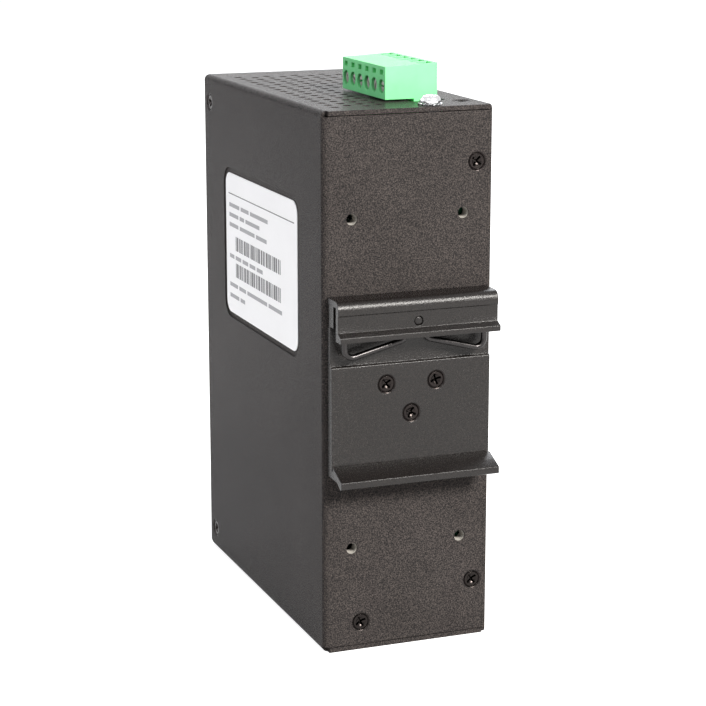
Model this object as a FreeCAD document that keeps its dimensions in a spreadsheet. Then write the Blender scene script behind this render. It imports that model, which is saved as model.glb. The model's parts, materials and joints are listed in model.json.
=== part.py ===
import FreeCAD, Part

import math
import os
import re

import Sketcher
from FreeCAD import Placement, Rotation, Vector

# A DIN rail Ethernet switch: a folded steel case with a flat side cover, a ported front
# panel, a plug-in terminal block on top and an extruded rail clip on its back.
# Millimetres. X runs across the case (label side at +X), Y from the ports to the rail
# clip, Z up. The origin is under the middle of the overall box.

os.makedirs("parts", exist_ok=True)

POLES = 6
PORTS = 5
CONTACTS = 8
LAMPS = 3
FINS = 7

SIZES = {
    # folded case
    "case_width": 46,
    "case_height": 142,
    "case_depth": 99,
    "sheet_wall": 1.2,
    "cover_wall": 1.0,
    "bend_radius": 1.6,
    "seam_gap": 0.2,
    "front_round": 1.0,
    "corner_notch": 1.5,
    "corner_round": 1.2,
    "cut_past": 1.0,
    "panel_gap": 0.15,
    # side label
    "label_length": 60,
    "label_height": 40,
    "label_thick": 0.15,
    "label_corner": 3.5,
    "label_border": 1.5,
    "label_recess": 0.25,
    "label_back": 19.5,
    "label_base": 76.5,
    # vent holes
    "vent_pitch": 4.87,
    "vent_radius": 1.2,
    "vent_start": 13.4,
    # countersunk screws
    "screw_radius": 1.45,
    "screw_hole": 1.5,
    "head_radius": 2.65,
    "head_depth": 1.2,
    "screw_length": 5,
    "seat_play": 0.02,
    # tabs that the screws bite in
    "tab_wall": 1.2,
    "tab_width": 8,
    "tab_reach": 6.4,
    "cover_screw_in": 4.0,
    "cover_screw_drop": 14.4,
    "cover_screw_low": 15.4,
    "lid_screw_back": 9.9,
    "lid_screw_front": 46.5,
    "base_screw_front": 80,
    "foot_screw_side": 12.7,
    "foot_screw_high": 7.5,
    "panel_screw_back": 5.5,
    "panel_screw_drop": 7.6,
    "panel_screw_low": 6.5,
    "panel_tab_reach": 9.5,
    # weld nuts
    "nut_radius": 3.1,
    "nut_thick": 2.2,
    "mount_side": 15.25,
    "mount_drop": 27.4,
    "mount_low": 28.0,
    # rail clip
    "clip_inset": 1.1,
    "clip_plate": 3.0,
    "clip_recess": 2.0,
    "clip_reach": 9.9,
    "clip_foot": 47.0,
    "ledge_lip": 2.0,
    "ledge_base": 1.5,
    "ledge_peak": 4.5,
    "ledge_slot": 0.6,
    "ledge_slot_deep": 1.1,
    "plate_step": 77.5,
    "hook_shoulder": 88.0,
    "hook_top": 95.2,
    "hook_roof": 1.6,
    "hook_back": 4.3,
    "wire_slot": 1.8,
    "hook_wall": 1.5,
    "hook_band": 3.4,
    "band_proud": 0.3,
    "hook_round": 2.2,
    "toe_reach": 9.5,
    "toe_base": 85.0,
    "toe_thick": 1.4,
    "toe_slope": 0.9,
    "relief_deep": 1.1,
    "relief_base": 87.7,
    "relief_tall": 5.7,
    "clip_screw_side": 6.87,
    "clip_screw_high": 72.05,
    "clip_screw_low": 63.9,
    # spring wire
    "wire_radius": 0.8,
    "wire_inset": 2.7,
    "wire_top": 91.8,
    "wire_low": 79.7,
    "wire_bend": 2.2,
    "wire_waist": 3.6,
    "wire_waist_high": 83.7,
    "pin_radius": 1.25,
    "pin_high": 89.0,
    "pin_bite": 1.0,
    # circuit board
    "board_thick": 1.6,
    "board_drop": 10,
    "board_low": 5,
    "board_front": 3,
    "board_back": 4,
    "standoff_tall": 5.3,
    "post_wide": 5,
    "post_neck": 2.6,
    "post_cap": 3.6,
    "post_play": 0.05,
    "post_front": 30,
    "post_rear": 8,
    "post_low": 6,
    "post_drop": 15,
    "pan_radius": 2.75,
    "pan_crown": 2.1,
    "pan_height": 2.0,
    # network jacks
    "jack_first": 22,
    "jack_pitch": 17.6,
    "jack_wide": 16,
    "jack_tall": 13.4,
    "jack_deep": 21,
    "socket_wide": 11.8,
    "socket_tall": 7.0,
    "socket_deep": 12,
    "latch_wide": 6.2,
    "latch_tall": 1.7,
    "socket_lift": 1.5,
    "contact_pitch": 1.02,
    "contact_wide": 0.45,
    "contact_drop": 2.0,
    # status lamps
    "lamp_gap": 13.6,
    "lamp_pitch": 4,
    "lamp_wide": 2.4,
    "lamp_out": 3,
    "lamp_long": 12,
    # terminal block
    "pole_pitch": 5.08,
    "plug_back": 14.6,
    "plug_thick": 14.5,
    "plug_gap": 0.45,
    "plug_tall": 8.4,
    "plug_rise": 0.7,
    "plug_stem": 6.5,
    "plug_fit": 0.3,
    "header_wall": 0.8,
    "header_drop": 0.4,
    "header_tall": 12,
    "header_floor": 1.5,
    "pin_wide": 1.0,
    "pin_slack": 0.03,
    "pin_short": 1.6,
    "slot_slack": 0.3,
    "screw_bore": 1.85,
    "screw_bore_high": 3.2,
    "wire_hole": 3.8,
    "wire_hole_deep": 3.6,
    "wire_hole_in": 1.1,
    "chamber_in": 7.6,
    "chamber_tall": 4.6,
    "chamber_lift": 0.9,
    "cage_wall": 0.7,
    "clamp_screw": 1.7,
    "clamp_sunk": 1.2,
    "clamp_slot": 0.6,
    "window_wide": 2.2,
    "window_tall": 1.25,
    "window_high": 6.85,
    "window_deep": 1.0,
    # ground screw
    "ground_side": 7.6,
    "ground_back": 4.2,
    "washer_radius": 3.1,
    "washer_root": 2.5,
    "washer_thick": 0.6,
    # parts on the board
    "chip_side": 20,
    "chip_thick": 1.6,
    "chip_high": 62,
    "chip_back": 40,
    "sink_base": 2,
    "sink_tall": 9,
    "fin_thick": 1.0,
    "can_radius": 5,
    "can_tall": 13,
    "can_drop": 30,
    "can_back": 24,
    "can_pitch": 14,
    "coil_side": 12,
    "coil_tall": 6,
    "coil_high": 86,
    "coil_back": 30,
    "magnetics_long": 7,
    "magnetics_wide": 12.7,
    "magnetics_tall": 5.6,
    "magnetics_gap": 3,
}

# Places worked out from the sizes.
PLACES = {
    "right": "(case_width / 2)",
    "left": "(-case_width / 2)",
    "rear": "((case_depth - clip_reach) / 2)",
    "front": "(-(case_depth + clip_reach) / 2)",
    "in_right": "(right - sheet_wall)",
    "in_left": "(left + cover_wall)",
    "in_rear": "(rear - sheet_wall)",
    "in_top": "(case_height - sheet_wall)",
    "clip_width": "(case_width - 2 * clip_inset)",
    "wire_side": "(clip_width / 2 - wire_inset)",
    "cover_screw_high": "(case_height - cover_screw_drop)",
    "panel_screw_high": "(case_height - panel_screw_drop)",
    "mount_high": "(case_height - mount_drop)",
    "board_high": "(case_height - board_drop)",
    "can_high": "(case_height - can_drop)",
    "lamp_first": "(jack_first + jack_pitch * %d + lamp_gap)" % (PORTS - 1),
    "board_rear_face": "(in_left + standoff_tall)",
    "board_face": "(board_rear_face + board_thick)",
    "plug_left": "(board_face + header_wall + plug_fit)",
    "plug_right": "(plug_left + plug_thick)",
    "plug_low": "(case_height + plug_gap)",
    "plug_rear": "(rear - plug_back)",
    "plug_long": "(pole_pitch * %d)" % POLES,
    "header_top": "(case_height - header_drop)",
    "header_low": "(header_top - header_tall)",
    "stem_low": "(header_low + header_floor + plug_fit)",
    "pin_axis": "(plug_left + plug_stem / 2)",
    "pin_foot": "(header_low - 2 * pin_wide)",
    "pin_top": "(plug_low - pin_short)",
    "bore_axis": "(plug_low + screw_bore_high)",
    "chamber_left": "(plug_left + wire_hole_in)",
    "chamber_low": "(plug_low + chamber_lift)",
    "slot_mid": "(rear + hook_back + wire_slot / 2)",
    "hook_face": "(hook_back + wire_slot + hook_wall)",
}


# ---------------------------------------------------------------- helpers

def term(text):
    """Write a size formula as an expression on the sheet, its places worked out."""
    text = str(text)
    while True:
        wider = re.sub(r"[a-z_]+", lambda word: PLACES.get(word[0], word[0]), text)
        if wider == text:
            break
        text = wider
    return re.sub(r"[a-z_]+", lambda word: "Sizes." + word[0] if word[0] in SIZES else word[0], text)


def bind(thing, name, formula):
    thing.setExpression(name, term(formula))


def place(thing, corner, turn=None):
    """Put a thing at a corner of three formulas, turned so that its own Z lies along turn."""
    if turn is not None:
        thing.Placement = Placement(Vector(), Rotation(Vector(0, 0, 1), Vector(*turn)))
    for axis, formula in zip("xyz", corner):
        bind(thing, "Placement.Base." + axis, formula)


def node(thing, label):
    """Name a finished piece."""
    thing.Label = label
    nodes.append(thing)
    return thing


def new_body(name):
    return doc.addObject("PartDesign::Body", "body_" + name)


def block(body, kind, name, lengths, corner):
    """Add or cut a box in a body, from its three lengths and its lowest corner."""
    feature = body.newObject("PartDesign::" + kind + "Box", name)
    for side, formula in zip(("Length", "Width", "Height"), lengths):
        bind(feature, side, formula)
    place(feature, corner)
    return feature


def drill(body, name, radius, depth, mouth, axis):
    """Cut a round hole from its mouth along an axis."""
    feature = body.newObject("PartDesign::SubtractiveCylinder", name)
    bind(feature, "Radius", radius)
    bind(feature, "Height", depth)
    place(feature, mouth, axis)
    return feature


def sketch_on(body, name, plane_role, start):
    """A sketch parallel to one of the body's origin planes, moved along its normal."""
    sketch = body.newObject("Sketcher::SketchObject", name)
    plane = [item for item in body.Origin.OriginFeatures if item.Role == plane_role][0]
    sketch.AttachmentSupport = [(plane, "")]
    sketch.MapMode = "FlatFace"
    bind(sketch, "AttachmentOffset.Base.z", start)
    return sketch


def pin_point(sketch, geometry, vertex, start, point):
    """Hold a sketch point at two formulas; start is where it lies before the solver runs."""
    for kind, at, formula in zip(("DistanceX", "DistanceY"), start, point):
        index = sketch.addConstraint(Sketcher.Constraint(kind, -1, 1, geometry, vertex, float(at)))
        bind(sketch, "Constraints[%d]" % index, formula)


def outline(sketch, points):
    """A closed outline of straight edges through the given points, each of two formulas."""
    count = len(points)
    ring = [Vector(math.cos(2 * math.pi * i / count), math.sin(2 * math.pi * i / count), 0)
            for i in range(count)]
    for i in range(count):
        sketch.addGeometry(Part.LineSegment(ring[i], ring[(i + 1) % count]))
    for i in range(count):
        sketch.addConstraint(Sketcher.Constraint("Coincident", i, 2, (i + 1) % count, 1))
    for i, point in enumerate(points):
        pin_point(sketch, i, 1, (ring[i].x, ring[i].y), point)


def pad(body, name, sketch, length):
    feature = body.newObject("PartDesign::Pad", name)
    feature.Profile = sketch
    bind(feature, "Length", length)
    return feature


def near(a, b):
    return abs(a - b) < 0.01


def round_edges(body, name, radius, wanted):
    """Round the body's straight edges whose middle point and direction pass a test."""
    doc.recompute()
    base = body.Tip
    names = []
    for i, edge in enumerate(base.Shape.Edges):
        if edge.Curve.TypeId != "Part::GeomLine":
            continue
        middle = edge.valueAt((edge.FirstParameter + edge.LastParameter) / 2)
        if wanted(middle, edge.Curve.Direction, base.Shape.BoundBox):
            names.append("Edge%d" % (i + 1))
    feature = body.newObject("PartDesign::Fillet", name)
    feature.Base = (base, names)
    bind(feature, "Radius", radius)
    return feature


def part_box(name, lengths, corner):
    thing = doc.addObject("Part::Box", name)
    for side, formula in zip(("Length", "Width", "Height"), lengths):
        bind(thing, side, formula)
    place(thing, corner)
    return thing


def part_cylinder(name, radius, height, base, axis=(0, 0, 1)):
    thing = doc.addObject("Part::Cylinder", name)
    bind(thing, "Radius", radius)
    bind(thing, "Height", height)
    place(thing, base, axis)
    return thing


def prism(name, radius, height, base=("0", "0", "0"), axis=None, sides=12):
    """Upright prism, its radius to the corners; small round pieces that repeat are twelve-sided."""
    thing = doc.addObject("Part::Prism", name)
    thing.Polygon = sides
    bind(thing, "Circumradius", radius)
    bind(thing, "Height", height)
    place(thing, base, axis)
    return thing


def taper(name, low, top):
    """Twelve-sided solid between two rings, each given as its radius and its height."""
    rings = []
    for word, (radius, high) in (("_low", low), ("_top", top)):
        ring = doc.addObject("Part::RegularPolygon", name + word)
        ring.Polygon = 12
        bind(ring, "Circumradius", radius)
        place(ring, ("0", "0", high))
        rings.append(ring)
    thing = doc.addObject("Part::Loft", name)
    thing.Sections = rings
    thing.Solid = True
    thing.Ruled = True
    return thing


def joined(name, pieces):
    thing = doc.addObject("Part::MultiFuse", name)
    thing.Shapes = pieces
    return thing


def cut_from(name, base, tool):
    thing = doc.addObject("Part::Cut", name)
    thing.Base = base
    thing.Tool = tool
    return thing


def group(name, pieces):
    """Like pieces that share one node, each a solid of its own."""
    thing = doc.addObject("Part::Compound", name)
    thing.Links = pieces
    return thing


def copies(master, name, spots):
    """Copies of a master piece, each at a place and turned along an axis."""
    made = []
    for i, (corner, axis) in enumerate(spots):
        link = doc.addObject("App::Link", "%s_%d" % (name, i + 1))
        link.LinkedObject = master
        place(link, corner, axis)
        made.append(link)
    return made


# ---------------------------------------------------------------- sheet

doc = FreeCAD.newDocument("din_rail_switch")
sheet = doc.addObject("Spreadsheet::Sheet", "Sizes")
for row, (word, value) in enumerate(SIZES.items(), 1):
    sheet.set("A%d" % row, word)
    sheet.set("B%d" % row, str(value))
    sheet.setAlias("B%d" % row, word)
doc.recompute()
nodes = []

OUT_RIGHT, OUT_LEFT = (1, 0, 0), (-1, 0, 0)
OUT_REAR, OUT_FRONT = (0, 1, 0), (0, -1, 0)
UP, DOWN = (0, 0, 1), (0, 0, -1)


# ---------------------------------------------------------------- where things repeat

def pole_y(pole):
    """Middle of a terminal pole, counted from the rear."""
    return "plug_rear - pole_pitch * %g" % (pole + 0.5)


def jack_z(port):
    return "jack_first + jack_pitch * %d" % port


def lamp_z(lamp):
    return "lamp_first + lamp_pitch * %d" % lamp


COVER_X = "left + cover_screw_in"
REAR_SPOTS = [((COVER_X, "rear", "cover_screw_high"), OUT_REAR),
              ((COVER_X, "rear", "cover_screw_low"), OUT_REAR)]
FOOT_SPOT = (("foot_screw_side", "rear", "foot_screw_high"), OUT_REAR)
LID_SPOTS = [((COVER_X, "rear - lid_screw_back", "case_height"), UP),
             ((COVER_X, "rear - lid_screw_front", "case_height"), UP)]
BASE_SPOTS = [((COVER_X, "rear - lid_screw_back", "0"), DOWN),
              ((COVER_X, "rear - base_screw_front", "0"), DOWN)]
PANEL_SPOTS = [(("right", "front + panel_screw_back", "panel_screw_high"), OUT_RIGHT),
               (("right", "front + panel_screw_back", "panel_screw_low"), OUT_RIGHT)]
MOUNT_SPOTS = [((side, "in_rear", high), OUT_FRONT)
               for side in ("mount_side", "-mount_side") for high in ("mount_high", "mount_low")]
CLIP_SPOTS = [((side, "rear + clip_plate", high), OUT_REAR)
              for side, high in (("clip_screw_side", "clip_screw_high"),
                                 ("-clip_screw_side", "clip_screw_high"),
                                 ("0", "clip_screw_low"))]


# ---------------------------------------------------------------- folded case

def make_case_shell():
    """One sheet folded into the label side, the top, the bottom and the rear wall."""
    body = new_body("case_shell")
    block(body, "Additive", "shell_outside", ("right - in_left", "case_depth", "case_height"),
          ("in_left", "front", "0"))
    round_edges(body, "outer_bends", "bend_radius",
                lambda p, d, box: near(p.x, box.XMax) and
                (abs(d.y) > 0.9 or (abs(d.z) > 0.9 and near(p.y, box.YMax))))
    round_edges(body, "front_bends", "front_round",
                lambda p, d, box: near(p.y, box.YMin) and not near(p.x, box.XMin))
    block(body, "Subtractive", "shell_inside",
          ("in_right - in_left + cut_past", "case_depth - sheet_wall + cut_past",
           "case_height - 2 * sheet_wall"),
          ("in_left - cut_past", "front - cut_past", "sheet_wall"))
    for name, low in (("top_seam", "in_top - seam_gap"), ("bottom_seam", "sheet_wall")):
        block(body, "Subtractive", name,
              ("in_right - in_left + cut_past", "sheet_wall + cut_past", "seam_gap"),
              ("in_left - cut_past", "in_rear", low))
    for name, low in (("top_notch", "case_height - corner_notch"), ("bottom_notch", "0")):
        block(body, "Subtractive", name, ("corner_notch",) * 3,
              ("right - corner_notch", "rear - corner_notch", low))
    block(body, "Subtractive", "front_notch", ("sheet_wall", "corner_notch", "corner_notch"),
          ("in_right", "front", "0"))
    # rear wall: threaded inserts, screws of the side cover and of the folded foot
    for i, ((x, y, z), axis) in enumerate(MOUNT_SPOTS):
        drill(body, "mount_hole_%d" % i, "screw_hole", "sheet_wall", (x, y, z), OUT_REAR)
    block(body, "Additive", "foot_tab", ("tab_width", "tab_wall", "tab_width"),
          ("foot_screw_side - tab_width / 2", "in_rear - seam_gap - tab_wall", "sheet_wall"))
    # top: ground stud hole, opening for the terminal block, vent field
    drill(body, "ground_hole", "screw_hole", "sheet_wall", ("-ground_side", "rear - ground_back", "in_top"), UP)
    block(body, "Subtractive", "terminal_opening",
          ("plug_stem + 2 * header_wall + 6 * plug_fit", "plug_long + 2 * header_wall + 6 * plug_fit",
           "sheet_wall + cut_past"),
          ("board_face - 2 * plug_fit", "plug_rear - plug_long - header_wall - 3 * plug_fit", "in_top"))
    # shallow bed for the side label
    block(body, "Subtractive", "label_bed",
          ("label_recess + cut_past", "label_length + 2 * label_border", "label_height + 2 * label_border"),
          ("right - label_recess", "rear - label_back - label_length - label_border",
           "label_base - label_border"))
    floor = SIZES["case_width"] / 2 - SIZES["label_recess"] / 2
    round_edges(body, "label_bed_corners", "label_corner + label_border",
                lambda p, d, box: near(p.x, floor) and abs(d.x) > 0.9)
    vent = prism("vent", "vent_radius", "sheet_wall + 2 * cut_past", sides=6)
    spots = [((x, y, "in_top - cut_past"), None) for x, y in vent_centres()]
    holes = copies(vent, "vent_hole", spots)
    holes += copies(short_seat, "shell_seat", REAR_SPOTS + [FOOT_SPOT] + LID_SPOTS + BASE_SPOTS + PANEL_SPOTS)
    holes += copies(long_seat, "shell_clip_seat", CLIP_SPOTS)
    return cut_from("vented_shell", body, group("shell_holes", holes))


def vent_centres():
    """Close-packed rows along Y; those on the terminal block's side stop in front of it."""
    centres = []
    for line in range(-4, 5):
        short = line < 1
        count = (8 if short else 17) - (line % 2 == 1 and not short)
        for hole in range(count):
            shift = hole + (0.5 if line % 2 else 0)
            centres.append(("vent_pitch * sin(60) * %d" % line,
                            "front + vent_start + vent_pitch * %g" % shift))
    return centres


def make_side_cover():
    """Flat plate of the far side, with lanced tabs that lie under the folded case."""
    body = new_body("side_cover")
    block(body, "Additive", "cover_plate", ("cover_wall", "case_depth", "case_height"),
          ("left", "front", "0"))
    for i, ((x, y, z), axis) in enumerate(REAR_SPOTS):
        block(body, "Additive", "cover_rear_tab_%d" % i, ("tab_reach", "tab_wall", "tab_width"),
              ("in_left", "in_rear - tab_wall", z + " - tab_width / 2"))
    for i, ((x, y, z), axis) in enumerate(LID_SPOTS):
        block(body, "Additive", "cover_top_tab_%d" % i, ("tab_reach", "tab_width", "tab_wall"),
              ("in_left", y + " - tab_width / 2", "in_top - tab_wall"))
    for i, ((x, y, z), axis) in enumerate(BASE_SPOTS):
        block(body, "Additive", "cover_base_tab_%d" % i, ("tab_reach", "tab_width", "tab_wall"),
              ("in_left", y + " - tab_width / 2", "sheet_wall"))
    middle = -SIZES["case_width"] / 2 + SIZES["cover_wall"] / 2
    round_edges(body, "cover_corners", "corner_round",
                lambda p, d, box: abs(d.x) > 0.9 and near(p.x, middle))
    threads = copies(short_seat, "cover_thread", REAR_SPOTS + LID_SPOTS + BASE_SPOTS)
    return cut_from("threaded_cover", body, group("cover_threads", threads))


def make_front_panel():
    """Sheet that closes the front, with two folded ears, port windows and lamp windows."""
    body = new_body("front_panel")
    block(body, "Additive", "panel_plate",
          ("in_right - in_left - 2 * panel_gap", "sheet_wall", "case_height - 2 * sheet_wall - 2 * panel_gap"),
          ("in_left + panel_gap", "front", "sheet_wall + panel_gap"))
    for i, low in enumerate(("in_top - panel_gap - tab_width", "sheet_wall + panel_gap")):
        block(body, "Additive", "panel_ear_%d" % i, ("tab_wall", "panel_tab_reach", "tab_width"),
              ("in_right - panel_gap - tab_wall", "front", low))
    for port in range(PORTS):
        block(body, "Subtractive", "port_window_%d" % port,
              ("jack_tall + 2 * panel_gap", "sheet_wall", "jack_wide + 2 * panel_gap"),
              ("board_face - panel_gap", "front", jack_z(port) + " - jack_wide / 2 - panel_gap"))
    for lamp in range(LAMPS):
        block(body, "Subtractive", "lamp_window_%d" % lamp,
              ("lamp_wide + 2 * panel_gap", "sheet_wall", "lamp_wide + 2 * panel_gap"),
              ("board_face + lamp_out - panel_gap", "front", lamp_z(lamp) + " - lamp_wide / 2 - panel_gap"))
    threads = copies(short_seat, "ear_thread", PANEL_SPOTS)
    return cut_from("threaded_panel", body, group("ear_threads", threads))


def make_label():
    """Plain label in its bed on the side."""
    body = new_body("label")
    block(body, "Additive", "label_sheet", ("label_thick", "label_length", "label_height"),
          ("right - label_recess", "rear - label_back - label_length", "label_base"))
    round_edges(body, "label_corners", "label_corner", lambda p, d, box: abs(d.x) > 0.9)
    return body


# ---------------------------------------------------------------- fasteners

def countersunk(name, head, shank, length):
    """Countersunk screw along -Z, or the seat for one, the top of its head at the origin."""
    cone = taper(name + "_head", (shank, "-head_depth"), (head, "0"))
    stem = prism(name + "_shank", shank, length, ("0", "0", "-(%s)" % length))
    return joined(name, [cone, stem])


def pan_screw(name, length):
    """Pan-head screw along -Z, the underside of its head at the origin."""
    head = taper(name + "_head", ("pan_radius", "0"), ("pan_crown", "pan_height"))
    stem = prism(name + "_shank", "screw_radius", length, ("0", "0", "-(%s)" % length))
    return joined(name, [head, stem])


def weld_nut(name, thread):
    """Hexagonal weld nut that stands on the sheet at the origin."""
    return cut_from(name, prism(name + "_blank", "nut_radius", "nut_thick", sides=6), thread)


def make_fasteners():
    screw = countersunk("short_screw", "head_radius", "screw_radius", "screw_length")
    node(group("cover_screws_group", copies(screw, "cover_screw", REAR_SPOTS + [FOOT_SPOT] + LID_SPOTS + BASE_SPOTS)),
         "cover_screws")
    node(group("panel_screws_group", copies(screw, "panel_screw", PANEL_SPOTS)),
         "front_panel_screws")
    long_screw = countersunk("long_screw", "head_radius", "screw_radius", "clip_plate + sheet_wall + nut_thick")
    node(group("clip_screws_group", copies(long_screw, "clip_screw", CLIP_SPOTS)), "clip_screws")
    open_nut = weld_nut("open_nut", part_cylinder("open_thread", "screw_hole", "nut_thick", ("0", "0", "0")))
    node(group("mount_nuts_group", copies(open_nut, "mount_nut", MOUNT_SPOTS)), "wall_mount_nuts")
    nut = weld_nut("nut", prism("nut_thread", "screw_hole", "nut_thick"))
    spots = [((x, "in_rear", z), OUT_FRONT) for x, y, z in (corner for corner, axis in CLIP_SPOTS)]
    node(group("clip_nuts_group", copies(nut, "clip_nut", spots)), "clip_nuts")
    ground = ("-ground_side", "rear - ground_back")
    nut_link = copies(nut, "ground_nut", [(ground + ("in_top",), DOWN)])
    node(group("ground_nut_group", nut_link), "ground_nut")
    pan = pan_screw("pan", "washer_thick + sheet_wall + nut_thick")
    node(group("ground_screw_group", copies(pan, "ground_pan", [(ground + ("case_height + washer_thick",), UP)])),
         "ground_screw")


def make_ground_washer():
    """External-tooth lock washer."""
    teeth = 12
    body = new_body("ground_washer")
    sketch = sketch_on(body, "washer_sketch", "XY_Plane", "case_height")
    points = []
    for i in range(2 * teeth):
        radius = "washer_radius" if i % 2 else "washer_root"
        angle = 180.0 * i / teeth
        points.append(("-ground_side + %s * cos(%g)" % (radius, angle),
                       "rear - ground_back + %s * sin(%g)" % (radius, angle)))
    outline(sketch, points)
    pad(body, "washer_disc", sketch, "washer_thick")
    drill(body, "washer_hole", "screw_hole", "washer_thick", ("-ground_side", "rear - ground_back", "case_height"), UP)
    return body


# ---------------------------------------------------------------- rail clip

def make_din_clip():
    """Extruded clip: plate, lower ledge and upper hook with a slot for the spring wire."""
    body = new_body("din_clip")
    sketch = sketch_on(body, "clip_sketch", "YZ_Plane", "-clip_width / 2")
    face = "rear + "
    outline(sketch, [
        ("rear", "clip_foot + ledge_base"),
        (face + "clip_reach - 3.2", "clip_foot + ledge_base - 0.1"),
        (face + "clip_reach - 0.6", "clip_foot"),
        (face + "clip_reach", "clip_foot + 0.3"),
        (face + "clip_reach", "clip_foot + ledge_lip"),
        (face + "clip_plate + ledge_slot + 0.3", "clip_foot + ledge_peak"),
        (face + "clip_plate + ledge_slot", "clip_foot + ledge_peak"),
        (face + "clip_plate + ledge_slot", "clip_foot + ledge_peak - ledge_slot_deep"),
        (face + "clip_plate", "clip_foot + ledge_peak - ledge_slot_deep"),
        (face + "clip_plate", "plate_step - 0.3"),
        (face + "clip_plate - 0.3", "plate_step"),
        (face + "clip_recess", "plate_step"),
        (face + "clip_recess", "hook_shoulder"),
        (face + "hook_back", "hook_shoulder"),
        (face + "hook_back", "hook_top - hook_roof"),
        (face + "hook_back + wire_slot", "hook_top - hook_roof"),
        (face + "hook_back + wire_slot", "toe_base"),
        (face + "toe_reach", "toe_base"),
        (face + "toe_reach", "toe_base + toe_thick"),
        (face + "hook_face", "toe_base + toe_thick + toe_slope"),
        (face + "hook_face", "hook_top - hook_band - band_proud"),
        (face + "hook_face + band_proud", "hook_top - hook_band"),
        (face + "hook_face + band_proud", "hook_top"),
        ("rear", "hook_top"),
        ("rear", "relief_base + relief_tall"),
        (face + "relief_deep", "relief_base + relief_tall"),
        (face + "relief_deep", "relief_base"),
        ("rear", "relief_base"),
    ])
    pad(body, "clip_bar", sketch, "clip_width")
    drill(body, "pin_hole", "pin_radius", "hook_face - hook_back + pin_bite + cut_past",
          ("0", "rear + hook_back - pin_bite", "pin_high"), OUT_REAR)
    round_edges(body, "hook_dome", "hook_round",
                lambda p, d, box: abs(d.x) > 0.9 and near(p.z, box.ZMax) and p.y > box.YMin + 1)
    return cut_from("drilled_clip", body, group("clip_seats", copies(long_seat, "clip_seat", CLIP_SPOTS)))


def make_spring_pin():
    return part_cylinder("pin_rod", "pin_radius", "hook_face - hook_back + pin_bite",
                         ("0", "rear + hook_back - pin_bite", "pin_high"), OUT_REAR)


def read(formula):
    """The number that a formula on the sheet gives, read back through a bound property."""
    bind(gauge, "Placement.Base.x", formula)
    gauge.recompute()
    return gauge.Placement.Base.x


def make_spring_wire():
    """Bent spring wire: two legs in the slot, low corners, and arms that rise under the pin."""
    radius = read("wire_radius")
    y = read("slot_mid")
    bend = read("wire_bend")
    side, waist = read("wire_side"), read("wire_waist")
    top, low = read("wire_top"), read("wire_low")
    crest = read("pin_high - pin_radius - wire_radius - seat_play")
    half = [(side, top), (side, low), (waist, read("wire_waist_high"))]
    tip = crest + bend * 0.25
    route = [Vector(-x, y, z) for x, z in half] + [Vector(0, y, tip)] + [Vector(x, y, z) for x, z in half[::-1]]
    edges = []
    start = route[0]
    for i in range(1, len(route) - 1):
        back = (route[i - 1] - route[i]).normalize()
        ahead = (route[i + 1] - route[i]).normalize()
        half_turn = back.getAngle(ahead) / 2
        reach = bend / math.tan(half_turn)
        inner = route[i] + (back + ahead).normalize() * (bend / math.sin(half_turn) - bend)
        edges.append(Part.LineSegment(start, route[i] + back * reach).toShape())
        edges.append(Part.Arc(route[i] + back * reach, inner, route[i] + ahead * reach).toShape())
        start = route[i] + ahead * reach
    edges.append(Part.LineSegment(start, route[-1]).toShape())
    spine = Part.Wire(edges)
    sides = 8
    corners = [route[0] + Vector(math.cos(math.pi * (2 * i + 1) / sides), math.sin(math.pi * (2 * i + 1) / sides), 0)
               * radius for i in range(sides)]
    section = Part.makePolygon(corners + corners[:1])
    wire = doc.addObject("Part::Feature", "spring_wire_shape")
    wire.Shape = spine.makePipeShell([section], True, True)
    print("spring wire crest", round(wire.Shape.optimalBoundingBox().ZMax, 2), "volume",
          round(wire.Shape.Volume / (spine.Length * math.pi * radius ** 2), 4))
    return wire


# ---------------------------------------------------------------- board and its posts

def post_places():
    return [(y, z) for y in ("front + board_front + post_front", "rear - board_back - post_rear")
            for z in ("board_low + post_low", "board_high - post_drop")]


def make_board():
    body = new_body("main_board")
    block(body, "Additive", "board_sheet",
          ("board_thick", "case_depth - board_front - board_back", "board_high - board_low"),
          ("board_rear_face", "front + board_front", "board_low"))
    for i, (y, z) in enumerate(post_places()):
        block(body, "Subtractive", "post_hole_%d" % i,
              ("board_thick", "post_neck + 2 * post_play", "post_neck + 2 * post_play"),
              ("board_rear_face", y + " - post_neck / 2 - post_play", z + " - post_neck / 2 - post_play"))
    for pole in range(POLES):
        block(body, "Subtractive", "board_pin_hole_%d" % pole,
              ("board_thick", "pin_wide + 2 * pin_slack", "pin_wide + 2 * pin_slack"),
              ("board_rear_face", pole_y(pole) + " - pin_wide / 2 - pin_slack", "pin_foot - pin_slack"))
    return body


def make_posts():
    """Moulded board supports: a square foot on the side cover, a neck and a snap-in cap."""
    foot = part_box("post_foot", ("standoff_tall", "post_wide", "post_wide"), ("0", "-post_wide / 2", "-post_wide / 2"))
    neck = part_box("post_neck", ("standoff_tall + board_thick + post_play", "post_neck", "post_neck"),
                    ("0", "-post_neck / 2", "-post_neck / 2"))
    cap = part_box("post_cap", ("post_neck / 2", "post_cap", "post_cap"),
                   ("standoff_tall + board_thick + post_play", "-post_cap / 2", "-post_cap / 2"))
    master = joined("post", [foot, neck, cap])
    spots = [(("in_left", y, z), None) for y, z in post_places()]
    return group("posts_group", copies(master, "board_post", spots))


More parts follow.
